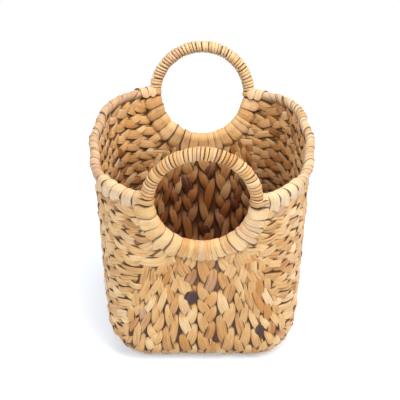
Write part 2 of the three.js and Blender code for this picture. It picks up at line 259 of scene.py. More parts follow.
# The middle line of a plait between two edges, from the front end to the back end. A tuck goes
# on past both ends, under the neighbours, and wider moves the two edges outwards.
def braidLine(left, right, thickness, tuck=0.0, wider=(0.0, 0.0)):
    flip = np.array([1, -1, 1])

    def throughout(rows):
        return np.concatenate([rows, rows[-2::-1] * flip])

    leftPoints, rightPoints = throughout(left["points"]), throughout(right["points"])
    out = unit(throughout(left["outs"]) + throughout(right["outs"]))
    across = unit(rightPoints - leftPoints)
    leftPoints, rightPoints = leftPoints - across * wider[0], rightPoints + across * wider[1]
    out = unit(out - across * np.sum(out * across, -1, keepdims=True))
    middle = (leftPoints + rightPoints) / 2 - out * thickness / 2
    half = np.linalg.norm(rightPoints - leftPoints, axis=1) / 2
    along = unit(np.gradient(middle, axis=0))
    square = np.linalg.norm(np.cross(across, along), axis=-1)
    if tuck:
        before = middle[0] - along[0] * tuck - out[0] * tuck * tub["tuckDepth"]
        after = middle[-1] + along[-1] * tuck - out[-1] * tuck * tub["tuckDepth"]
        middle = np.concatenate([[before], middle, [after]])
        across, out, half, square = (
            np.concatenate([rows[:1], rows, rows[-1:]]) for rows in (across, out, half, square)
        )
    return {
        "reached": distancesAlong(middle),
        "middle": middle,
        "across": across,
        "out": out,
        "half": half,
        "square": square,
        "thickness": thickness,
    }


def sampled(line, key, distances):
    return valuesAt(distances, line["reached"], line[key])


# The plaits of the tub, each with its two edges.
def layOutSide(side, firstAngle, middle):
    hoopRows = tub["hoopRows"][side]
    level = np.array([side, 0.0])
    fanStarts = tub["fanStarts"][side]
    top = distanceAtHeight(tub["hoopHeight"] + tub["rimRise"] - tub["rimReach"] - tub["gap"])
    last = side * middle["distance"] + len(fanStarts) * tub["floorWidth"]
    rowWidth = (top - last) / tub["rowsPerSide"]
    distances = [side * (top - row * rowWidth) for row in range(tub["rowsPerSide"] + 1)]
    rows = [
        edgeLine(distances[row], level, angle=firstAngle - side * row * tub["rowFoldAngle"])
        for row in range(hoopRows + 1)
    ]
    place, direction = curveFrom(middle["corners"], tub["wedgeTrim"])
    arrival = floorArrival(middle["distance"])
    fan = [edgeLine(middle["distance"], arrival, place=place, direction=direction)]
    for i, start in enumerate(fanStarts):
        place, direction = curveFrom(rows[hoopRows]["corners"], start)
        distance = middle["distance"] + side * (i + 1) * tub["floorWidth"]
        aim = np.array(sectionAt(distance)[:2])
        direction = unit(aim - place)
        place = place + direction * tub["mitreGap"]
        fan.append(edgeLine(distance, floorArrival(distance), place=place, direction=direction))
    slant = fan[-1]["corners"]
    for row in range(hoopRows, tub["rowsPerSide"]):
        place = placeAtHeight(slant, sectionAt(distances[row])[1]) + level * tub["mitreGap"]
        rows.append(edgeLine(distances[row], level, place=place, direction=level))
    place = bezier(slant, tub["tailShare"]) + level * tub["mitreGap"]
    rows.append(edgeLine(side * last, floorArrival(side * last), place=place, direction=level))

    word = "left" if side < 0 else "right"
    braids = []
    for row in range(tub["rowsPerSide"]):
        shift = 1 if row >= hoopRows else 0
        braids.append((f"{word}_row_{row + 1:02d}", rows[row + shift], rows[row + shift + 1]))
    count = len(fanStarts)
    for i in range(count):
        braids.append((f"{word}_fan_{i + 1:02d}", fan[count - i], fan[count - i - 1]))
    return [(name, *((a, b) if side < 0 else (b, a))) for name, a, b in braids]


def layOutBraids():
    count = tub["middleCount"]
    edges = []
    for i in range(count + 1):
        distance = tub["floorShift"] + (i - count / 2) * tub["floorWidth"]
        angle = tub["middleStartAngle"] + i * tub["middleFoldAngle"]
        down = np.array([0.0, -1.0])
        edges.append(edgeLine(distance, floorArrival(distance), angle=angle, direction=down))
    braids = [(f"middle_braid_{i + 1:02d}", edges[i], edges[i + 1]) for i in range(count)]
    tops = {
        -1: tub["middleStartAngle"] - tub["hoopRows"][-1] * tub["rowFoldAngle"],
        1: tub["middleStartAngle"]
        + count * tub["middleFoldAngle"]
        + tub["hoopRows"][1] * tub["rowFoldAngle"],
    }
    braids += layOutSide(-1, tops[-1], edges[0])
    braids += layOutSide(1, tops[1], edges[count])
    return braids, tops


def rimEdges(side, topAngle):
    width = tub["rimCoreWidth"]
    foldAngle = width / tub["approachRadius"]
    rimAngle = (tub["rimReach"] + 2 * tub["gap"]) / tub["approachRadius"]
    distance = distanceAtHeight(tub["hoopHeight"] + tub["rimRise"])
    level = np.array([side, 0.0])
    upper, lower = (
        edgeLine(
            side * (distance - share * width),
            level,
            angle=topAngle + side * (rimAngle - share * foldAngle),
            direction=level,
            thickness=tub["rimCoreThickness"],
        )
        for share in (-0.5, 0.5)
    )
    return (upper, lower) if side < 0 else (lower, upper)


braids, topAngles = layOutBraids()
rims = {side: rimEdges(side, topAngles[side]) for side in (-1, 1)}
print("lines laid out,", len(braids), "plaits")

# A strand is a closed tube with a flattened section along a path. Its vectors are one row for
# each ring, and up is the side of the section that is its flat face.


def strandOf(path, up, half, thick, tone, tint, low, along, inside=0.0, pressed=None):
    tangent = unit(np.gradient(path, axis=0))
    side = unit(np.cross(up, tangent))
    up = np.cross(tangent, side)

    def place(ring, sideways, lift):
        points = path[ring] + side[ring] * sideways[:, None] + up[ring] * lift[:, None]
        return pressed(points, ring) if pressed else points

    return strandWith(place, half, thick, tone, tint, low, along, inside)


def strandWith(place, half, thick, tone, tint, low, along, inside=0.0):
    rows = {"half": half, "thick": thick, "tone": tone, "tint": tint}
    rows = {key: np.broadcast_to(row, len(along)).astype(float) for key, row in rows.items()}
    return {"place": place, "low": low, "along": along, "inside": inside, **rows}


# Painted shade by how low a strand's surface lies: least on its upper face, and more towards its
# underside.
def paintedShadeUnder(thick, least, more):
    least = np.broadcast_to(least, len(thick))

    def low(ring, rise):
        return least[ring] + more * (1 - np.clip(rise / thick[ring], -1, 1)) / 2

    return low


# A strand wound round a core. wrap gives the places at distances along the core, at angles
# round it and heights over its surface, and turned is the distance round it.
def woundStrand(wrap, girth, s, turned, half, thick, tone, tint, low):
    flat = np.stack([s, turned], -1)
    ahead = unit(np.gradient(flat, axis=0))

    def place(ring, sideways, lift):
        angle = (turned[ring] + ahead[ring, 0] * sideways) / girth
        return wrap(s[ring] - ahead[ring, 1] * sideways, angle, lift)

    return strandWith(place, half, thick, tone, tint, low, distancesAlong(flat))


# A strand's cross-section, and how much painted shade darkens its margin and its very edge. Each
# strand's pattern starts at a place of its own, two strides from the one before.
section = {
    "around": 14,
    "squareness": 0.72,
    "crown": 0.85,
    "margin": 0.22,
    "edge": 1.0,
    "edgeSharpness": 6,
    "strideAcross": 30,
    "strideAlong": 517,
}


# How much painted shade a surface gets (its low value), or how far inside it is, is a number or
# follows from the ring and its lift.
def valueOf(rule, ring, lift):
    return rule(ring, lift) if callable(rule) else rule


def addObject(name, data):
    added = bpy.data.objects.new(name, data)
    bpy.context.scene.collection.objects.link(added)
    return added


# Makes one piece of several strands. Each starts as a sphere with a ring for each station.
def pieceOf(name, strands, material, around=None):
    around = around or section["around"]
    apart = 4  # the spheres stand side by side, so that a vertex's place tells its strand
    bm = bmesh.new()
    for k, strand in enumerate(strands):
        rings = len(strand["along"])
        place = Matrix.Translation((apart * k, 0, 0))
        bmesh.ops.create_uvsphere(
            bm, u_segments=around, v_segments=rings + 1, radius=1, matrix=place
        )
    mesh = bpy.data.meshes.new(name)
    bm.to_mesh(mesh)
    bm.free()
    total = len(mesh.vertices)
    ball = np.empty(total * 3, np.float32)
    mesh.vertices.foreach_get("co", ball)
    ball = ball.reshape(-1, 3).astype(float)
    places = np.empty((total, 3))
    strandPlace = np.empty((total, 3))
    tone, tint, low, inside = (np.empty(total) for _ in range(4))
    owner = np.rint(ball[:, 0] / apart).astype(int)
    for k, strand in enumerate(strands):
        rings = len(strand["along"])
        own = np.flatnonzero(owner == k)
        block = ball[own] - (apart * k, 0, 0)
        polar = np.arctan2(np.hypot(block[:, 0], block[:, 1]), -block[:, 2])
        ring = np.rint(polar / math.pi * (rings + 1)).astype(int) - 1
        pole = (ring < 0) | (ring >= rings)
        ring = np.clip(ring, 0, rings - 1)
        turn = np.arctan2(block[:, 1], block[:, 0])
        flat = np.where(pole, 0, 1)
        c, s = np.cos(turn) * flat, np.sin(turn) * flat
        sideways = np.sign(c) * np.abs(c) ** section["squareness"] * strand["half"][ring]
        lift = np.sign(s) * np.abs(s) ** section["crown"] * strand["thick"][ring]
        places[own] = strand["place"](ring, sideways, lift)
        places[own, 2] = np.maximum(places[own, 2], 0)  # the floor presses the leaves flat
        start = section["strideAcross"] * k, section["strideAlong"] * k
        spot = [sideways + start[0], lift, strand["along"][ring] + start[1]]
        strandPlace[own] = np.stack(spot, -1)
        tone[own] = strand["tone"][ring]
        tint[own] = strand["tint"][ring]
        # Painted shade along each strand's margin, darkest at its very edge, as dark outlines between
        # leaves.
        margin = section["margin"] * np.abs(c) ** 3
        margin = margin + section["edge"] * np.abs(c) ** section["edgeSharpness"]
        low[own] = valueOf(strand["low"], ring, lift) + margin
        inside[own] = valueOf(strand["inside"], ring, lift)
    mesh.vertices.foreach_set("co", (places * millimetre).ravel())
    for key, values in (("tone", tone), ("tint", tint), ("low", low), ("inside", inside)):
        mesh.attributes.new(key, "FLOAT", "POINT").data.foreach_set("value", values)
    layer = mesh.attributes.new("strandPlace", "FLOAT_VECTOR", "POINT")
    layer.data.foreach_set("vector", (strandPlace * millimetre).ravel())
    mesh.shade_smooth()
    mesh.update()
    mesh.materials.append(material)
    return addObject(name, mesh)


# Steps from one value to the next, with even stretches between them.
def smoothSteps(values, position, sharpness=1.0):
    whole = np.floor(position)
    share = np.clip((position - whole - 0.5) * sharpness + 0.5, 0, 1)
    share = share * share * (3 - 2 * share)
    index = np.clip(whole.astype(int), 0, len(values) - 2)
    return mixed(values[index], values[index + 1], share)


# Shader maths as expressions: a socket with the operators that the finishes use.


class Signal:
    def __init__(self, tree, socket):
        self.tree = tree
        self.socket = socket

    def maths(self, operation, other=None, swap=False):
        node = self.tree.nodes.new("ShaderNodeMath")
        node.operation = operation
        pair = [self, other] if not swap else [other, self]
        for i, value in enumerate(pair):
            if isinstance(value, Signal):
                self.tree.links.new(value.socket, node.inputs[i])
            elif value is not None:
                node.inputs[i].default_value = value
        return Signal(self.tree, node.outputs[0])

    def __add__(self, other):
        return self.maths("ADD", other)

    def __radd__(self, other):
        return self.maths("ADD", other, swap=True)

    def __sub__(self, other):
        return self.maths("SUBTRACT", other)

    def __rsub__(self, other):
        return self.maths("SUBTRACT", other, swap=True)

    def __mul__(self, other):
        return self.maths("MULTIPLY", other)

    def __rmul__(self, other):
        return self.maths("MULTIPLY", other, swap=True)

    def __pow__(self, other):
        return self.maths("POWER", other)


# The nodes of a material or of the world.
class Finish:
    def __init__(self, owner):
        self.owner = owner
        self.owner.use_nodes = True
        self.tree = self.owner.node_tree
        self.tree.nodes.clear()

    # Adds a node: its type, its settings, then its sockets' values or links. The output is the
    # one of that name, or else the first.
    def node(self, kind, settings=None, output=None, **sockets):
        node = self.tree.nodes.new("ShaderNode" + kind)
        for key, value in (settings or {}).items():
            if key == "stops":
                ramp = node.color_ramp
                while len(ramp.elements) > 1:
                    ramp.elements.remove(ramp.elements[-1])
                ramp.elements[0].position, ramp.elements[0].color = value[0][0], (*value[0][1], 1)
                for place, colour in value[1:]:
                    ramp.elements.new(place).color = (*colour, 1)
            else:
                setattr(node, key, value)
        for key, value in sockets.items():
            names = key, key.replace("_", " ")
            socket = next(
                s for s in node.inputs if s.enabled and (s.name in names or s.identifier in names)
            )
            if isinstance(value, Signal):
                self.tree.links.new(value.socket, socket)
            else:
                socket.default_value = (*value, 1) if socket.type == "RGBA" else value
        outputs = [s for s in node.outputs if s.enabled and output in (None, s.name)]
        return Signal(self.tree, outputs[0]) if outputs else None

    def attribute(self, name, output="Fac"):
        return self.node("Attribute", {"attribute_name": name}, output)

    def place(self):
        return self.node("TexCoord", output="Object")

    def noise(self, vector, scale, detail, roughness):
        return self.node(
            "TexNoise", Vector=vector, Scale=scale, Detail=detail, Roughness=roughness
        )

    def stretched(self, vector, across, along):
        return self.node(
            "Mapping", {"vector_type": "POINT"}, Vector=vector, Scale=(across, across, along)
        )

    def ramp(self, value, stops):
        return self.node("ValToRGB", {"stops": stops}, Fac=value)

    def spread(self, value, low, high, to=(0.0, 1.0)):
        return self.node(
            "MapRange",
            {"clamp": True},
            Value=value,
            From_Min=low,
            From_Max=high,
            To_Min=to[0],
            To_Max=to[1],
        )

    def blend(self, factor, a, b, mode="MIX"):
        settings = {"data_type": "RGBA", "blend_type": mode}
        return self.node("Mix", settings, Factor=factor, A=a, B=b)

    # 1 for rays that show the ground in the picture, 0 for those that only carry its light.
    def seenRays(self):
        camera, glossy, through = (
            self.node("LightPath", output=f"Is {ray} Ray")
            for ray in ("Camera", "Glossy", "Transmission")
        )
        return camera.maths("MAXIMUM", glossy).maths("MAXIMUM", through)

    def closed(self, shader, output="OutputMaterial"):
        self.node(output, Surface=shader)
        return self.owner

    def surface(self, **sockets):
        return self.closed(self.node("BsdfPrincipled", **sockets))


leafLook = {
    "palest": (0.86, 0.605, 0.325),
    "straw": (0.71, 0.41, 0.152),
    "tan": (0.45, 0.19, 0.052),
    "brown": (0.15, 0.055, 0.02),
    "dark": (0.045, 0.021, 0.022),
    "pink": (0.62, 0.38, 0.235),
    "amber": (0.54, 0.225, 0.052),
    # Painted shade: the colour that hollows, crevices and leaf edges are blended towards.
    "paintedShadeColour": (0.075, 0.026, 0.009),
    # Painted shade: multiplies the inside of the tub darker and browner towards its floor.
    "inside": (0.43, 0.295, 0.19),
    # Painted light: multiplies the upper inside walls brighter.
    "upperInsidePaintedLight": (1.14, 1.13, 1.15),
}
rimLook = {
    **leafLook,
    "palest": (0.80, 0.58, 0.345),
    "straw": (0.66, 0.405, 0.185),
    "pink": (0.60, 0.39, 0.255),
}

# Patterns by their scales across and along the leaf, and the heights between which painted shade
# darkens the inside below and painted light brightens it above.
leafGrain = {
    "fibres": (2600, 45),
    "streaks": (620, 26),
    "patches": (90, 40),
    "stains": (420, 150),
    "ridges": (900, 16),
    "tones": (("palest", 0.0), ("straw", 0.30), ("tan", 0.58), ("brown", 0.80), ("dark", 1.0)),
    "streakShare": 0.6,
    "patchShare": 0.5,
    "stained": (0.66, 0.80),
    "stainDepth": 0.6,
    "fibreLines": (0.30, 0.70),
    "fibreShade": (0.80, 1.10),
    "pinkTints": (0.1, 1.0, (0.0, 0.75)),
    "amberTints": (-0.1, -1.0, (0.0, 0.8)),
    "deepShadeHeights": (0.17, 0.07),
    "paintedLightHeights": (0.12, 0.20),
    "deepShadeTone": 1.3,
    "deepCreviceShade": 0.27,
    "paintedShadeFrom": (0.42, 0.84),
    "paintedShadeCurve": 1.15,
    "ridgeShare": 0.75,
    "bump": 0.0012,
    "bumpStrength": 0.6,
    "roughness": (0.44, 0.64),
    "specular": 0.35,
}


# Dried leaf: a tone for each leaf, fibres along it and stains, with painted shade in the hollows and
# deeper inside, and painted light on the upper inside walls.
def leafFinish(name, paleness, paintedShadeAmount=0.92, look=leafLook):
    finish = Finish(bpy.data.materials.new(name))
    grain = leafGrain
    place = finish.attribute("strandPlace", "Vector")
    tone = finish.attribute("tone")
    tint = finish.attribute("tint")
    low = finish.attribute("low")
    inside = finish.attribute("inside")
    height = finish.node("SeparateXYZ", output="Z", Vector=finish.place())

    fibres, streaks, patches, stains, ridges = (
        finish.noise(finish.stretched(place, *grain[kind]), 1.0, detail, roughness)
        for kind, detail, roughness in (
            ("fibres", 3.0, 0.6),
            ("streaks", 2.0, 0.55),
            ("patches", 3.0, 0.6),
            ("stains", 2.0, 0.7),
            ("ridges", 2.0, 0.5),
        )
    )
    # Painted shade on inner surfaces towards the floor of the tub, and painted light on them higher
    # up.
    deepShade = inside * finish.spread(height, *grain["deepShadeHeights"])
    upper = inside * finish.spread(height, *grain["paintedLightHeights"])
    browning = tone + (streaks - 0.5) * grain["streakShare"] - paleness
    browning = browning + (patches - 0.5) * grain["patchShare"]
    browning = browning + deepShade * (tone - 0.3) * grain["deepShadeTone"]
    colour = finish.ramp(browning, [(start, look[name]) for name, start in grain["tones"]])
    colour = finish.blend(finish.spread(tint, *grain["pinkTints"]), colour, look["pink"])
    colour = finish.blend(finish.spread(tint, *grain["amberTints"]), colour, look["amber"])
    fleck = finish.spread(stains, *grain["stained"], (0.0, grain["stainDepth"]))
    colour = finish.blend(fleck, colour, look["brown"])
    line = finish.spread(fibres, *grain["fibreLines"], grain["fibreShade"])
    tinted = finish.node("CombineColor", Red=line, Green=line, Blue=line)
    colour = finish.blend(1.0, colour, tinted, "MULTIPLY")
    # Painted light: the upper inside walls are multiplied brighter.
    colour = finish.blend(upper, colour, look["upperInsidePaintedLight"], "MULTIPLY")
    # Painted shade: low places, and more so deep inside the tub, blend towards the dark crevice
    # colour.
    shade = finish.spread(low + deepShade * grain["deepCreviceShade"], *grain["paintedShadeFrom"])
    shade = shade ** grain["paintedShadeCurve"] * paintedShadeAmount
    colour = finish.blend(shade, colour, look["paintedShadeColour"])
    # Painted shade: the deep inside is multiplied darker and browner.
    colour = finish.blend(deepShade, colour, look["inside"], "MULTIPLY")

    rise = ridges * grain["ridgeShare"] + fibres * (1 - grain["ridgeShare"])
    return finish.surface(
        Base_Color=colour,
        Roughness=finish.spread(fibres, 0.2, 0.8, grain["roughness"]),
        Specular_IOR_Level=grain["specular"],
        Normal=finish.node(
            "Bump", Strength=grain["bumpStrength"], Distance=grain["bump"], Height=rise
        ),
    )


cane = {
    "dark": (0.30, 0.16, 0.07),
    "pale": (0.52, 0.33, 0.16),
    "grain": 260.0,
    "bump": 0.0005,
    "roughness": 0.55,
}


def caneFinish():
    finish = Finish(bpy.data.materials.new("hoop_cane_bark"))
    grain = finish.noise(finish.place(), cane["grain"], 4.0, 0.6)
    colour = finish.ramp(grain, [(0.3, cane["dark"]), (0.7, cane["pale"])])
    normal = finish.node("Bump", Strength=0.3, Distance=cane["bump"], Height=grain)
    return finish.surface(Base_Color=colour, Roughness=cane["roughness"], Normal=normal)


materials = {
    "side_braid": leafFinish("side_plait_leaf", 0.0),
    "floor_braid": leafFinish("floor_plait_leaf", 0.0),
    "rim_core": leafFinish("rim_core_leaf", 0.0),
    "rim_strand": leafFinish("rim_strand_leaf", 0.06, paintedShadeAmount=0.72, look=rimLook),
    "handle_strand": leafFinish("handle_strand_leaf", 0.08, paintedShadeAmount=0.68),
    "hoop_cane": caneFinish(),
}
print("finishes made")

plait = {
    "ringSpacing": 2.3,
    "row": {"pitch": 80.0, "swing": 0.60, "half": 0.72, "straight": 0.95, "uneven": 1.0},
    "floor": {"pitch": 86.0, "swing": 0.60, "half": 0.64, "straight": 0.96, "uneven": 0.75},
    "press": (0.76, 1.06),
    "core": {"pitch": 40.0, "swing": 0.50, "half": 0.60, "straight": 0.5, "uneven": 1.0},
    "weave": 0.255,
    "early": math.radians(5),
    "thick": 0.245,
    "pinch": -0.02,
    "leastHalf": 8.0,
    "tuck": 7.0,
    "unevenWidth": 0.11,
    "unevenLift": 0.30,
    "unevenPath": 0.42,
    "unevenRoll": 0.14,
    "unevenPitch": 0.45,
    "meanTone": {"row": 0.28, "floor": 0.33, "core": 0.30},
    "meanTint": {"row": -0.02, "floor": -0.12, "core": 0.0},
    "wider": {"left_row_01": (2.4, 0.0), "right_row_01": (0.0, 2.4)},
    "depthShade": 0.66,
    "endWidth": 0.75,
    "endLength": 10,
    "tipWidth": 0.4,
    "driftLength": 45,
    "plump": (1.06, 0.94),
    "fillHalf": 0.34,
    # Painted shade on the flat edge leaves.
    "fillShade": 0.66,
    "fillThick": 0.9,
    "fillTone": 0.5,
    "fillInside": 0.5,
    "toneSpread": 0.125,
    "toneKept": 0.6,
    "darkShare": 0.035,
    "darker": (0.2, 0.45),
    "tintSpread": 0.32,
    "colourStep": 1.6,
}


# The strand and the number of the leaf that shows nearest to a distance on one side. Even
# numbers show outside and odd ones inside.
def leafNear(leaves, s, thetas, distance, side, within):
    found = []
    for k, leaf in enumerate(leaves):
        for number in range(math.ceil(leaf[0]), math.floor(leaf[-1]) + 1):
            if number % 2 == within and math.sin(np.interp(number, leaf, thetas[k])) * side > 0:
                found.append((abs(np.interp(number, leaf, s) - distance), k, number))
    return min(found)[1:]


# The three strands of one plait along its line. An accent is a distance, a side, 1 where the
# leaf shows inside, its tone and its tint.
def plaitStrands(line, kind, rng, accents=()):
    make = plait[kind]
    total = line["reached"][-1]
    s = np.linspace(0, total, int(total / plait["ringSpacing"]))
    middle, across = sampled(line, "middle", s), sampled(line, "across", s)
    out = unit(sampled(line, "out", s))
    half = sampled(line, "half", s)
    half = np.maximum(half, min(plait["leastHalf"], half.max()))
    square = sampled(line, "square", s)
    thickness = line["thickness"]
    near = np.minimum(s, total - s)
    taper = mixed(plait["endWidth"], 1, shareBetween(near, 0, plait["endLength"]))
    drifts = rng.normal(0, plait["unevenPitch"], int(total / plait["driftLength"]) + 3)
    drift = smoothSteps(drifts, s / plait["driftLength"])
    turned = 2 * math.pi * s / make["pitch"] + rng.uniform(0, 2 * math.pi) + drift
    uneven = make["uneven"]
    thetas = [turned + k * 2 * math.pi / 3 for k in range(3)]
    # A strand shows a new leaf each time that it comes up, outside and inside in turn.
    numbers = [(theta / math.pi - 0.75) * 2 for theta in thetas]
    numbers = [leaf - 2 * math.floor(leaf[0] / 2) + 2 for leaf in numbers]
    marked = [
        (*leafNear(numbers, s, thetas, distance, side, within), tone, tint)
        for distance, side, within, tone, tint in accents
    ]
    strands = []
    for k, (theta, leaf) in enumerate(zip(thetas, numbers)):
        leaves = int(leaf.max()) + 3
        widths = 1 + uneven * plait["unevenWidth"] * rng.standard_normal(leaves)
        lifts = uneven * plait["unevenLift"] * rng.standard_normal(leaves)
        shifts = uneven * plait["unevenPath"] * rng.standard_normal(leaves)
        rolls = uneven * plait["unevenRoll"] * rng.standard_normal(leaves)
        tones = rng.standard_normal(leaves)
        kept = plait["toneKept"]
        tones[1::2] = kept * tones[1::2] + kept * tones[: len(tones[1::2]) * 2 : 2]
        tones = plait["meanTone"][kind] + plait["toneSpread"] * tones
        darker = rng.random(leaves) < plait["darkShare"]
        tones = tones + darker * rng.uniform(*plait["darker"], leaves)
        tints = rng.normal(plait["meanTint"][kind], plait["tintSpread"], leaves)
        for strand, number, tone, tint in marked:
            if strand == k:
                tones[number], tints[number] = tone, tint
        fullness = np.sin(2 * theta) ** 2
        zigzag = np.arcsin(make["straight"] * np.sin(theta)) / math.asin(make["straight"])
        swing = make["swing"] * half * taper * zigzag + smoothSteps(shifts, leaf)
        wave = np.sin(2 * (theta + plait["early"]))
        lift = smoothSteps(lifts, leaf) - plait["weave"] * thickness * wave
        path = middle + across * swing[:, None] + out * lift[:, None]
        wide = make["half"] * half * square * taper * smoothSteps(widths, leaf)
        wide = wide * (1 - plait["pinch"] * (1 - fullness))
        wide[[0, -1]] *= plait["tipWidth"]
        thick = plait["thick"] * thickness * mixed(*plait["plump"], fullness) * (1 + taper) / 2
        tone, tint = (smoothSteps(row, leaf, plait["colourStep"]) for row in (tones, tints))
        top = plait["weave"] * thickness + thick
        up = out + across * smoothSteps(rolls, leaf)[:, None]

        # Painted shade: a surface nearer the plait's mid-plane, where strands pass under, gets more.
        def low(ring, rise, lift=lift, top=top):
            return plait["depthShade"] * (1 - np.clip(np.abs(lift[ring] + rise) / top[ring], 0, 1))

        def inside(ring, rise, lift=lift):
            return np.clip(0.5 - (lift[ring] + rise) / 2, 0, 1)

        # The neighbouring plaits press the strand flat at the plait's edges.
        def pressed(points, ring):
            free, most = (share * half[ring] for share in plait["press"])
            aside = np.sum((points - middle[ring]) * across[ring], -1)
            over = np.maximum(np.abs(aside) - free, 0)
            kept = free + (most - free) * np.tanh(over / (most - free))
            moved = np.where(over > 0, np.sign(aside) * kept - aside, 0)
            return points + across[ring] * moved[:, None]

        strands.append(strandOf(path, up, wide, thick, tone, tint, low, s, inside, pressed))
    # A leaf pressed flat along each edge, with painted shade so that it shows dark between the
    # neighbours.
    edge = sampled(line, "half", s)
    wide = plait["fillHalf"] * edge * square * taper
    thick = plait["fillThick"] * thickness / tub["thickness"]
    tone, low, inside = plait["fillTone"], plait["fillShade"], plait["fillInside"]
    for side in (-1, 1):
        path = middle + across * (side * edge)[:, None]
        strands.append(strandOf(path, out, wide, thick, tone, 0.0, low, s, inside))
    return strands


fray = {
    "seed": 3000,
    "perPlait": 1.6,
    "length": (7, 15),
    "half": (0.5, 1.3),
    "tipWidth": 0.05,
    "thick": 0.3,
    "fromEnds": 20,
    "outside": 0.75,
    "points": 8,
    "sunk": 1.2,
    "rise": 0.35,
    "unevenRise": (0.3, 1),
    "lean": 0.3,
    "leastHeight": 0.5,
    "tone": (0.0, 0.5),
    "tintSpread": 0.4,
    # Painted shade on the loose ends.
    "low": 0.2,
    "inside": 0.8,
}


# Loose ends of leaf that stand off a plait.
def frayStrands(line, rng):
    total = line["reached"][-1]
    strands = []
    for _ in range(rng.poisson(fray["perPlait"])):
        length, side = rng.uniform(*fray["length"]), rng.choice([-1, 1])
        face = 1 if rng.random() < fray["outside"] else -1
        aside = rng.uniform(-0.5, 0.5)
        start = rng.uniform(fray["fromEnds"], total - fray["fromEnds"])
        share = np.linspace(0, 1, fray["points"])
        at = np.clip(start + side * share * length, 0, total)
        half = sampled(line, "half", at)
        out = unit(sampled(line, "out", at)) * face
        rise = share**1.5 * length * fray["rise"] * rng.uniform(*fray["unevenRise"])
        rise = rise + line["thickness"] / 2 - fray["sunk"]
        lean = aside * half + share**2 * length * rng.normal(0, fray["lean"])
        across = sampled(line, "across", at)
        path = sampled(line, "middle", at) + across * lean[:, None] + out * rise[:, None]
        path[:, 2] = np.maximum(path[:, 2], fray["leastHeight"])
        wide = rng.uniform(*fray["half"]) * (1 + fray["tipWidth"] - share)
        tone, tint = rng.uniform(*fray["tone"]), rng.normal(0, fray["tintSpread"])
        inside = 0.0 if face > 0 else fray["inside"]
        strands.append(
            strandOf(path, out, wide, fray["thick"], tone, tint, fray["low"], at, inside)
        )
    return strands


fold = {
    "thick": 1.8,
    "proud": 1.35,
    "radius": 7.0,
    "outerTongue": {"row": (4, 9), "floor": (2.5, 5), "core": (5, 10)},
    "innerTongue": (6, 11),
    "sink": {"row": 3.4, "floor": 1.4, "core": 0.0},
    "spread": 1.06,
    "spreadAt": 4,
    "ringSpacing": 1.2,
    "roundTip": 11.0,
    "squareTip": 4.0,
    "leastTip": 0.02,
    "tipThick": 0.45,
    "thinLength": 5,
    "bend": (72, 288),
    "bendPoints": 22,
    "easing": 4,
    "tone": 0.25,
    "toneSpread": 0.08,
    "tintSpread": 0.35,
    # Painted shade: least and most, from the upper face to the underside, and more at the tucked
    # tips.
    "low": (0.22, 0.75),
    "tipPaintedShade": 0.25,
    "tipPaintedShadeLength": 3,
    "insideFrom": 0.55,
    "insideLength": 12,
    "mostInside": 0.75,
    "widening": 0.24,
    "widens": (3, 17),
    "whole": 0.85,
    "widest": 0.3,
    "uneven": (0.98, 1.10),
    "roll": 0.15,
    "raise": 0.4,
    "bulge": 0.5,
    "bulges": (4, 12),
    "widths": (0.7, 1.3),
    "overlap": 0.03,
}


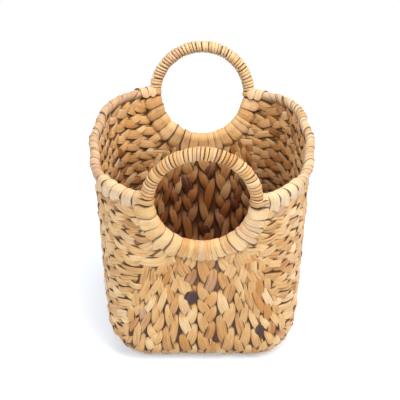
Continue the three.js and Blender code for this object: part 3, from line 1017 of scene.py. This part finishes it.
# A strand folded round the hoop's rod, with a tongue over each face of the plait.
def foldStrand(line, left, right, rng, back, share, tone, tint, kind):
    mirror = np.array([1, -1 if back else 1, 1])
    angle = mixed(left["angle"], right["angle"], sum(share) / 2)
    part = (share[1] - share[0]) * rng.uniform(*fold["uneven"])
    sweep = abs(right["angle"] - left["angle"]) * part
    total = line["reached"][-1]
    lateral = sum(share) - 1
    longest = rng.uniform(*fold["outerTongue"][kind]), rng.uniform(*fold["innerTongue"])
    tip = fold["squareTip"] if kind == "floor" else fold["roundTip"]
    surface = line["thickness"] / 2 + fold["proud"] + rng.uniform(-1, 1) * fold["raise"]

    def tongue(length, lift):
        s = np.linspace(length, 0, int(length / fold["ringSpacing"]))
        at = total - s if back else s
        out = unit(sampled(line, "out", at))
        aside = sampled(line, "across", at) * (lateral * sampled(line, "half", at))[:, None]
        sunk = np.sign(lift) * fold["sink"][kind] * shareBetween(s, 0, length) ** 1.5
        return sampled(line, "middle", at) + aside + out * (lift - sunk)[:, None], out

    outer, outerOut = tongue(longest[0], surface)
    inner, innerOut = tongue(longest[1], -surface)
    turn = np.radians(np.linspace(*fold["bend"], fold["bendPoints"]))
    across, down = hoopDirection(angle)
    reach = tub["hoopRadius"] + fold["radius"] * np.cos(turn)
    loop = endPoint(across * reach, down * reach, fold["radius"] * np.sin(turn)) * mirror
    radial = (endPoint(across, down, 0) - hoopMiddle) * mirror
    loopUp = radial * np.cos(turn)[:, None] + endOut * mirror * np.sin(turn)[:, None]
    path = np.concatenate([outer, loop, inner[::-1]])
    up = np.concatenate([outerOut, loopUp, -innerOut[::-1]])
    along = distancesAlong(path)
    even = np.linspace(0, along[-1], int(along[-1] / fold["ringSpacing"]))
    up = unit(valuesAt(even, along, up))
    path = eased(valuesAt(even, along, path), fold["easing"])
    fromTip = np.minimum(even, even[-1] - even)
    far = np.linalg.norm(path - hoopMiddle * mirror, axis=1) - tub["hoopRadius"]
    belly = 1 + fold["widening"] * shareBetween(far, *fold["widens"])
    half = sweep * (tub["hoopRadius"] + fold["spreadAt"]) / 2 * fold["spread"] * belly
    half = half * roundTip(fromTip / tip, fold["leastTip"])
    thick = mixed(fold["tipThick"], 1, shareBetween(fromTip, 0, fold["thinLength"]))
    thick = thick * fold["thick"] * (1 + fold["bulge"] * shareBetween(far, *fold["bulges"]))
    leaning = unit(np.cross(up, np.gradient(path, axis=0)))
    up = up + leaning * rng.normal(0, fold["roll"])
    # Painted shade towards the fold's underside and at its tucked tips.
    least, more = fold["low"]
    least = least + fold["tipPaintedShade"] * shareBetween(fromTip, fold["tipPaintedShadeLength"], 0)
    inside = (even - even[-1] * fold["insideFrom"]) / fold["insideLength"]
    inside = np.clip(inside, 0, fold["mostInside"])
    low = paintedShadeUnder(thick, least, more)
    return strandOf(path, up, half, thick, tone, tint, low, even, lambda ring, rise: inside[ring])


# A fold of one, two or three strands side by side.
def foldStrands(line, left, right, rng, back, kind, looks=None):
    if looks is None:
        wide = abs(right["angle"] - left["angle"]) > fold["widest"]
        count = (1 if rng.random() < fold["whole"] else 2) + wide
        tone = rng.normal(fold["tone"], fold["toneSpread"] / 2)
        looks = [
            (tone + rng.normal(0, fold["toneSpread"]), rng.normal(0, fold["tintSpread"]))
            for _ in range(count)
        ]
    bounds = np.cumsum([0, *rng.uniform(*fold["widths"], len(looks))])
    bounds = bounds / bounds[-1]
    shares = zip(bounds - fold["overlap"], bounds[1:] + fold["overlap"])
    return [
        foldStrand(line, left, right, rng, back, share, *look, kind)
        for share, look in zip(shares, looks)
    ]


# Leaves whose colour stands out: distance along the plait, side, 1 inside, tone and tint.
accents = {
    "middle_braid_01": [
        (56, 1, 0, 0.98, 0.1), (22, 1, 0, 0.66, 0.3), (120, -1, 0, 0.42, -0.9),
        (534, 1, 1, 0.33, -1.1), (488, 1, 1, 0.02, 1.0),
    ],
    "middle_braid_02": [
        (24, 1, 0, 0.30, -1.0), (20, -1, 0, 0.34, -0.8), (50, 1, 0, 0.60, 0.5),
        (68, 1, 0, 0.34, -0.7), (66, -1, 0, 0.30, -0.6), (104, 1, 0, 0.62, 0.0),
        (532, 1, 1, 0.33, -1.1),
    ],
    "middle_braid_03": [(514, 1, 1, 0.35, -1.0), (482, -1, 1, 0.08, 0.9)],
    "right_fan_02": [
        (44, 1, 0, 0.56, -1.1), (70, -1, 0, 0.55, -1.1), (90, 1, 0, 0.50, -1.0),
    ],
    "right_fan_03": [(112, 1, 0, 0.95, 0.0)],
    "left_fan_03": [(40, 1, 0, 0.50, -1.0)],
    "left_fan_02": [(84, -1, 0, 0.62, 0.9)],
    "left_row_02": [(24, 1, 0, 0.46, 0.0)],
    "right_row_01": [(20, -1, 0, 0.5, 0.9)],
    "left_row_04": [(334, 1, 1, 0.66, 0.8)],
    "left_row_05": [(374, 1, 1, 0.56, 0.9)],
    "right_row_03": [(362, 1, 1, 0.72, 0.6)],
    "right_row_06": [(362, 1, 1, 0.34, -1.0)],
}

# The strands of the front folds: tone and tint.
foldLooks = {
    "middle_braid_01": [(0.36, -0.4), (0.24, -0.2), (0.32, -0.2)],
    "middle_braid_02": [(0.24, 0.9), (0.31, -0.1), (0.22, 0.3)],
    "middle_braid_03": [(0.22, 0.0), (0.30, 0.3)],
    "right_row_01": [(0.06, 0.2)],
    "right_row_02": [(0.14, 0.9), (0.12, 0.5)],
    "right_row_03": [(0.12, 0.9), (0.16, 0.4)],
    "right_row_04": [(0.12, 0.0)],
    "left_row_01": [(0.24, 0.1)],
    "left_row_02": [(0.16, 0.1)],
    "left_row_03": [(0.24, -0.1)],
    "left_row_04": [(0.12, 0.0)],
    "left_row_05": [(0.18, 0.1)],
}


def keepPiece(piece, node, slot):
    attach(piece, "root")
    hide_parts(node)


def dressBraid(name, left, right, kind, slot, seed):
    rng = np.random.default_rng(seed)
    onHoop = left["angle"] is not None and right["angle"] is not None
    thickness = tub["rimCoreThickness"] if kind == "core" else tub["thickness"]
    wider = plait["wider"].get(name, (0.0, 0.0))
    line = braidLine(left, right, thickness, 0 if onHoop else plait["tuck"], wider)
    strands = plaitStrands(line, kind, rng, accents.get(name, ()))
    if kind != "core":
        strands += frayStrands(line, np.random.default_rng(seed + fray["seed"]))
    if onHoop:
        for back in (False, True):
            looks = None if back else foldLooks.get(name)
            strands += foldStrands(line, left, right, rng, back, kind, looks)
    keepPiece(pieceOf(name + "_plait", strands, materials[slot]), name, slot)


for number, (name, left, right) in enumerate(braids):
    kind, slot = ("row", "side_braid") if "row" in name else ("floor", "floor_braid")
    dressBraid(name, left, right, kind, slot, 100 + number)
print("plaits made")

rimStrand = {
    "turns": 16,
    "strands": 3,
    "half": 3.9,
    "thick": 2.1,
    "radii": (3.8, 3.6),
    "ringsPerTurn": 20,
    "samples": 2001,
    "reach": 11,
    "cornerLength": 60,
    "cornerBreadth": 1.5,
    "tone": {-1: 0.40, 1: 0.16},
    "tint": {-1: 0.75, 1: 0.35},
    "toneSpread": 0.17,
    "tintSpread": 0.35,
    "unevenPlace": 1.9,
    "widths": (0.6, 1.3),
    "lifts": (-0.7, 1.0),
    "leafStep": 2,
    "stepsEarly": 0.3,
    "endTurns": (-0.05, 0.85 / 3),
    # Painted shade on the rim strands, from the upper face to the underside.
    "low": (0.28, 0.9),
}


# Broad leaves folded over the top edge beside each hoop: distance from the hoop, half width,
# slant, tone and tint.
ribbon = {
    "thick": 0.95,
    "tip": 7.0,
    "leastTip": 0.03,
    "points": 36,
    "easing": 8,
    "slantsAbout": 0.4,
    "unevenStart": (-2.5, 2.0),
    "unevenPlace": (-1.5, 1.5),
    "toneSpread": 0.04,
    "tintSpread": 0.1,
    # Painted shade on the ribbons, from the upper face to the underside.
    "low": (0.02, 0.36),
    "insideFrom": 0.62,
    "insideGrowth": 4,
    "mostInside": 0.6,
    "section": [
        (17, 1.9), (10, 3.7), (3, 5.9), (-2.5, 6.6), (-6.2, 4.0), (-7.2, 0.0),
        (-6.0, -4.2), (-1.5, -6.4), (3, -6.9), (6, -7.0),
    ],
    -1: [
        (-3, 6.5, 3, 0.22, 0.3), (10, 7.5, 10, 0.2, 0.3), (25, 8.5, 18, 0.16, -0.15),
        (43, 8.5, 20, 0.2, -0.1), (62, 6.5, 12, 0.24, 0.1),
    ],
    1: [
        (-3, 6.0, 1, 0.12, 0.1), (8, 7.0, 8, 0.1, 0.0), (21, 7.0, 16, 0.18, 0.1),
        (34, 7.0, 17, 0.08, 0.0), (50, 7.5, 16, 0.15, 0.1),
    ],
}


def ribbonStrand(line, side, rng, back, distance, half, slant, tone, tint):
    total = line["reached"][-1]
    corners = np.array(ribbon["section"], float)
    corners[:2, 0] += rng.uniform(*ribbon["unevenStart"])
    share = np.linspace(0, 1, ribbon["points"])
    down, far = valuesAt(share, np.linspace(0, 1, len(corners)), corners).T
    s = distance + rimStrand["reach"] - (share - ribbon["slantsAbout"]) * slant
    s = s + rng.uniform(*ribbon["unevenPlace"])
    s = np.clip(total - s if back else s, 0.5, total - 0.5)
    middle, across = sampled(line, "middle", s), sampled(line, "across", s)
    out = unit(sampled(line, "out", s))
    path = eased(
        middle - across * (side * down)[:, None] + out * far[:, None], ribbon["easing"]
    )
    along = distancesAlong(path)
    tangent = unit(np.gradient(path, axis=0))
    up = unit(np.cross(tangent, np.cross(path - middle, tangent)))
    half = half * roundTip(np.minimum(along, along[-1] - along) / ribbon["tip"], ribbon["leastTip"])
    tone = tone + rng.normal(0, ribbon["toneSpread"])
    tint = tint + rng.normal(0, ribbon["tintSpread"])
    thick = np.full(len(along), ribbon["thick"])
    inside = (share - ribbon["insideFrom"]) * ribbon["insideGrowth"]
    inside = np.clip(inside, 0, ribbon["mostInside"])
    low = paintedShadeUnder(thick, *ribbon["low"])
    return strandOf(path, up, half, thick, tone, tint, low, along, lambda ring, rise: inside[ring])


# The front hoop's corner has all the leaves and the back one's the first two.
def ribbonStrands(line, side, rng):
    return [
        ribbonStrand(line, side, rng, back, *leaf)
        for back in (False, True)
        for leaf in ribbon[side][: 2 if back else None]
    ]


# The rim: a core plait with strands wound round it in turn, broader towards the hoops.
def dressRim(side, seed):
    word = "left" if side < 0 else "right"
    left, right = rims[side]
    rng = np.random.default_rng(seed)
    dressBraid(word + "_rim_core", left, right, "core", "rim_core", seed + 1)
    line = braidLine(left, right, tub["rimCoreThickness"], rimStrand["reach"])
    total = line["reached"][-1]
    radii = rimStrand["radii"]
    girth = sum(radii) / 2
    turns, strandCount = rimStrand["turns"], rimStrand["strands"]
    leaves = turns + 4

    def wrap(s, angle, lift):
        across, out = sampled(line, "across", s), unit(sampled(line, "out", s))
        aside = across * (np.cos(angle) * (radii[0] + lift))[:, None]
        return sampled(line, "middle", s) + aside + out * (np.sin(angle) * (radii[1] + lift))[:, None]

    share = np.linspace(0, 1, rimStrand["samples"])
    near = shareBetween(np.minimum(share, 1 - share) * total, rimStrand["cornerLength"], 0)
    broad = 1 + (rimStrand["cornerBreadth"] - 1) * near**0.5
    turnReached = np.cumsum(1 / broad)
    turnReached = turnReached / turnReached[-1] * turns
    strands = []
    for which in range(strandCount):
        at = np.linspace(0, turns, turns * rimStrand["ringsPerTurn"])
        s = np.interp(at + which / strandCount, turnReached, share * total)
        breadth = np.interp(at, turnReached, broad)
        shifts = rng.normal(0, rimStrand["unevenPlace"], leaves)
        s = np.clip(s + smoothSteps(shifts, at + rimStrand["stepsEarly"]), 1, total - 1)
        widths = rng.uniform(*rimStrand["widths"], leaves)
        half = rimStrand["half"] * breadth * smoothSteps(widths, at, rimStrand["leafStep"])
        fromEnd = np.minimum(at, turns - at)
        half = half * shareBetween(fromEnd, *rimStrand["endTurns"])
        raised = smoothSteps(rng.uniform(*rimStrand["lifts"], leaves), at)
        tone, tint = (
            smoothSteps(
                rng.normal(rimStrand[key][side], rimStrand[key + "Spread"], leaves),
                at,
                rimStrand["leafStep"],
            )
            for key in ("tone", "tint")
        )
        thick = np.full(len(at), rimStrand["thick"])

        def wrapRaised(places, angle, lift, s=s, raised=raised):
            return wrap(places, angle, lift + np.interp(places, s, raised))

        strands.append(
            woundStrand(
                wrapRaised, girth, s, side * at * 2 * math.pi * girth, half, thick, tone, tint,
                paintedShadeUnder(thick, *rimStrand["low"]),
            )
        )
    strands += ribbonStrands(line, side, rng)
    piece = pieceOf(word + "_rim_winding", strands, materials["rim_strand"])
    keepPiece(piece, word + "_rim_strap", "rim_strand")


for side in (-1, 1):
    dressRim(side, 500 + 20 * side)
print("rims made")

handle = {
    "turns": 44,
    "half": 2.2,
    "thick": 1.9,
    "radius": 6.1,
    "ringsPerTurn": 16,
    "tone": {"front": 0.41, "back": 0.21},
    "toneSpread": 0.10,
    "tint": 0.25,
    "tintSpread": 0.3,
    "unevenPlace": 0.13,
    "unevenRise": 0.22,
    "widths": (0.82, 1.15),
    "widthStep": 2,
    "colourStep": 3,
    # Painted shade on the handle strip, from the upper face to the underside, darkening the lines
    # between turns.
    "low": (0.18, 1.1),
    "around": 10,
}


# The handle: one narrow strip wound closely round the hoop's upper arc.
def dressHandle(word, mirror, seed, looks):
    rng = np.random.default_rng(seed)
    margin = (tub["rimReach"] + 2 * tub["gap"] + tub["rimCoreWidth"] / 2) / tub["approachRadius"]
    begin = topAngles[-1] - margin
    sweep = begin - (topAngles[1] + margin - 2 * math.pi)
    turns = handle["turns"]
    leaves = turns + 3
    at = np.linspace(0, turns, turns * handle["ringsPerTurn"])
    shifts = smoothSteps(rng.normal(0, handle["unevenPlace"], leaves), at)
    s = np.clip((at + shifts) / turns, 0, 1) * sweep * tub["hoopRadius"]
    raised = smoothSteps(rng.normal(0, handle["unevenRise"], leaves), at)

    def wrap(places, angle, lift):
        turned = begin - places / tub["hoopRadius"]
        level = np.stack([-np.cos(turned), 0 * turned, 0 * turned], -1)
        radial = level + np.sin(turned)[:, None] * endDown
        far = handle["radius"] + lift + np.interp(places, s, raised)
        reach = tub["hoopRadius"] + far * np.cos(angle)
        points = hoopMiddle + radial * reach[:, None] + endOut * (far * np.sin(angle))[:, None]
        return points * mirror

    widths = rng.uniform(*handle["widths"], leaves)
    half = handle["half"] * smoothSteps(widths, at, handle["widthStep"])
    tones = rng.normal(handle["tone"][word], handle["toneSpread"], leaves)
    tints = rng.normal(handle["tint"], handle["tintSpread"], leaves)
    for turn, tone, tint in looks:
        tones[turn], tints[turn] = tone, tint
    tone, tint = (smoothSteps(row, at, handle["colourStep"]) for row in (tones, tints))
    thick = np.full(len(at), handle["thick"])
    strand = woundStrand(
        wrap, handle["radius"], s, -at * 2 * math.pi * handle["radius"], half, thick, tone, tint,
        paintedShadeUnder(thick, *handle["low"]),
    )
    finish = materials["handle_strand"]
    piece = pieceOf(word + "_handle_winding", [strand], finish, handle["around"])
    keepPiece(piece, word + "_handle_strap", "handle_strand")
    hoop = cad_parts[word + "_hoop"]
    hoop.data.materials.clear()
    hoop.data.materials.append(materials["hoop_cane"])


dressHandle("front", np.array([1, 1, 1]), 700, [(25, 0.2, 1.6)])
dressHandle("back", np.array([1, -1, 1]), 701, [(13, 0.35, 1.2)])
print("handles made")

# The camera and the ground in metres. A lamp has its place, its aim, its size, its watts and its
# colour.
studio = {
    "cameraBack": 2.084,
    "cameraRise": 0.754,
    "cameraPitch": 68.3,
    "lens": 162.6,
    "sensorWidth": 36,
    "shift": -0.005,
    "clipEnd": 20,
    "floorSize": 6.0,
    "floorColour": (0.77, 0.86, 0.98),
    "floorLift": 0.38,
    "whiteFrom": (0.35, 1.1),
    "skyColour": (0.97, 0.98, 1.0),
    "skyStrength": 0.55,
    "lamps": {
        "key_lamp": ((1.1, -1.3, 1.9), (0, 0, 0.12), 2.0, 42, (1.0, 0.98, 0.95)),
        "fill_lamp": ((-1.6, -1.5, 1.3), (0, 0, 0.12), 1.6, 14.5, (0.96, 0.98, 1.0)),
        "top_lamp": ((0.2, -0.2, 2.2), (0, 0, 0.1), 1.4, 25, (1.0, 1.0, 1.0)),
    },
}


def makeFloor():
    bm = bmesh.new()
    bmesh.ops.create_grid(bm, x_segments=1, y_segments=1, size=studio["floorSize"])
    mesh = bpy.data.meshes.new("floor")
    bm.to_mesh(mesh)
    bm.free()
    finish = Finish(bpy.data.materials.new("white_floor"))
    seen = finish.seenRays()
    diffuse = finish.node("BsdfDiffuse", Color=studio["floorColour"])
    glow = finish.node("Emission", Strength=seen * studio["floorLift"])
    lit = finish.node("AddShader", Shader=diffuse, Shader_001=glow)
    # Away from the basket the floor is plain white, as the sky is.
    away = finish.node("VectorMath", {"operation": "LENGTH"}, Vector=finish.place())
    white = finish.node("Emission", Strength=1.0)
    share = seen * finish.spread(away, *studio["whiteFrom"])
    ground = finish.node("MixShader", Fac=share, Shader=lit, Shader_001=white)
    mesh.materials.append(finish.closed(ground))
    addObject("floor", mesh)


def makeSky():
    finish = Finish(bpy.data.worlds.new("sky"))
    light, seen = (
        finish.node("Background", Color=colour, Strength=strength)
        for colour, strength in ((studio["skyColour"], studio["skyStrength"]), ((1, 1, 1), 1.0))
    )
    sky = finish.node("MixShader", Fac=finish.seenRays(), Shader=light, Shader_001=seen)
    bpy.context.scene.world = finish.closed(sky, "OutputWorld")


def makeLamp(name, place, aim, size, watts, colour):
    data = bpy.data.lights.new(name, "AREA")
    data.shape = "DISK"
    data.size = size
    data.energy = watts
    data.color = colour
    lamp = addObject(name, data)
    lamp.location = place
    lamp.rotation_euler = (Vector(aim) - Vector(place)).to_track_quat("-Z", "Y").to_euler()


def makeCamera():
    data = bpy.data.cameras.new("camera")
    data.lens = studio["lens"]
    data.sensor_width = studio["sensorWidth"]
    data.shift_x = studio["shift"]
    data.clip_end = studio["clipEnd"]
    camera = addObject("camera", data)
    rise = studio["cameraRise"] + tub["hoopHeight"] * millimetre
    camera.location = (0, -studio["cameraBack"], rise)
    camera.rotation_euler = (math.radians(studio["cameraPitch"]), 0, 0)
    bpy.context.scene.camera = camera


makeFloor()
makeSky()
for name, lamp in studio["lamps"].items():
    makeLamp(name, *lamp)
makeCamera()
bpy.context.scene.view_settings.view_transform = "Standard"
print("studio made")
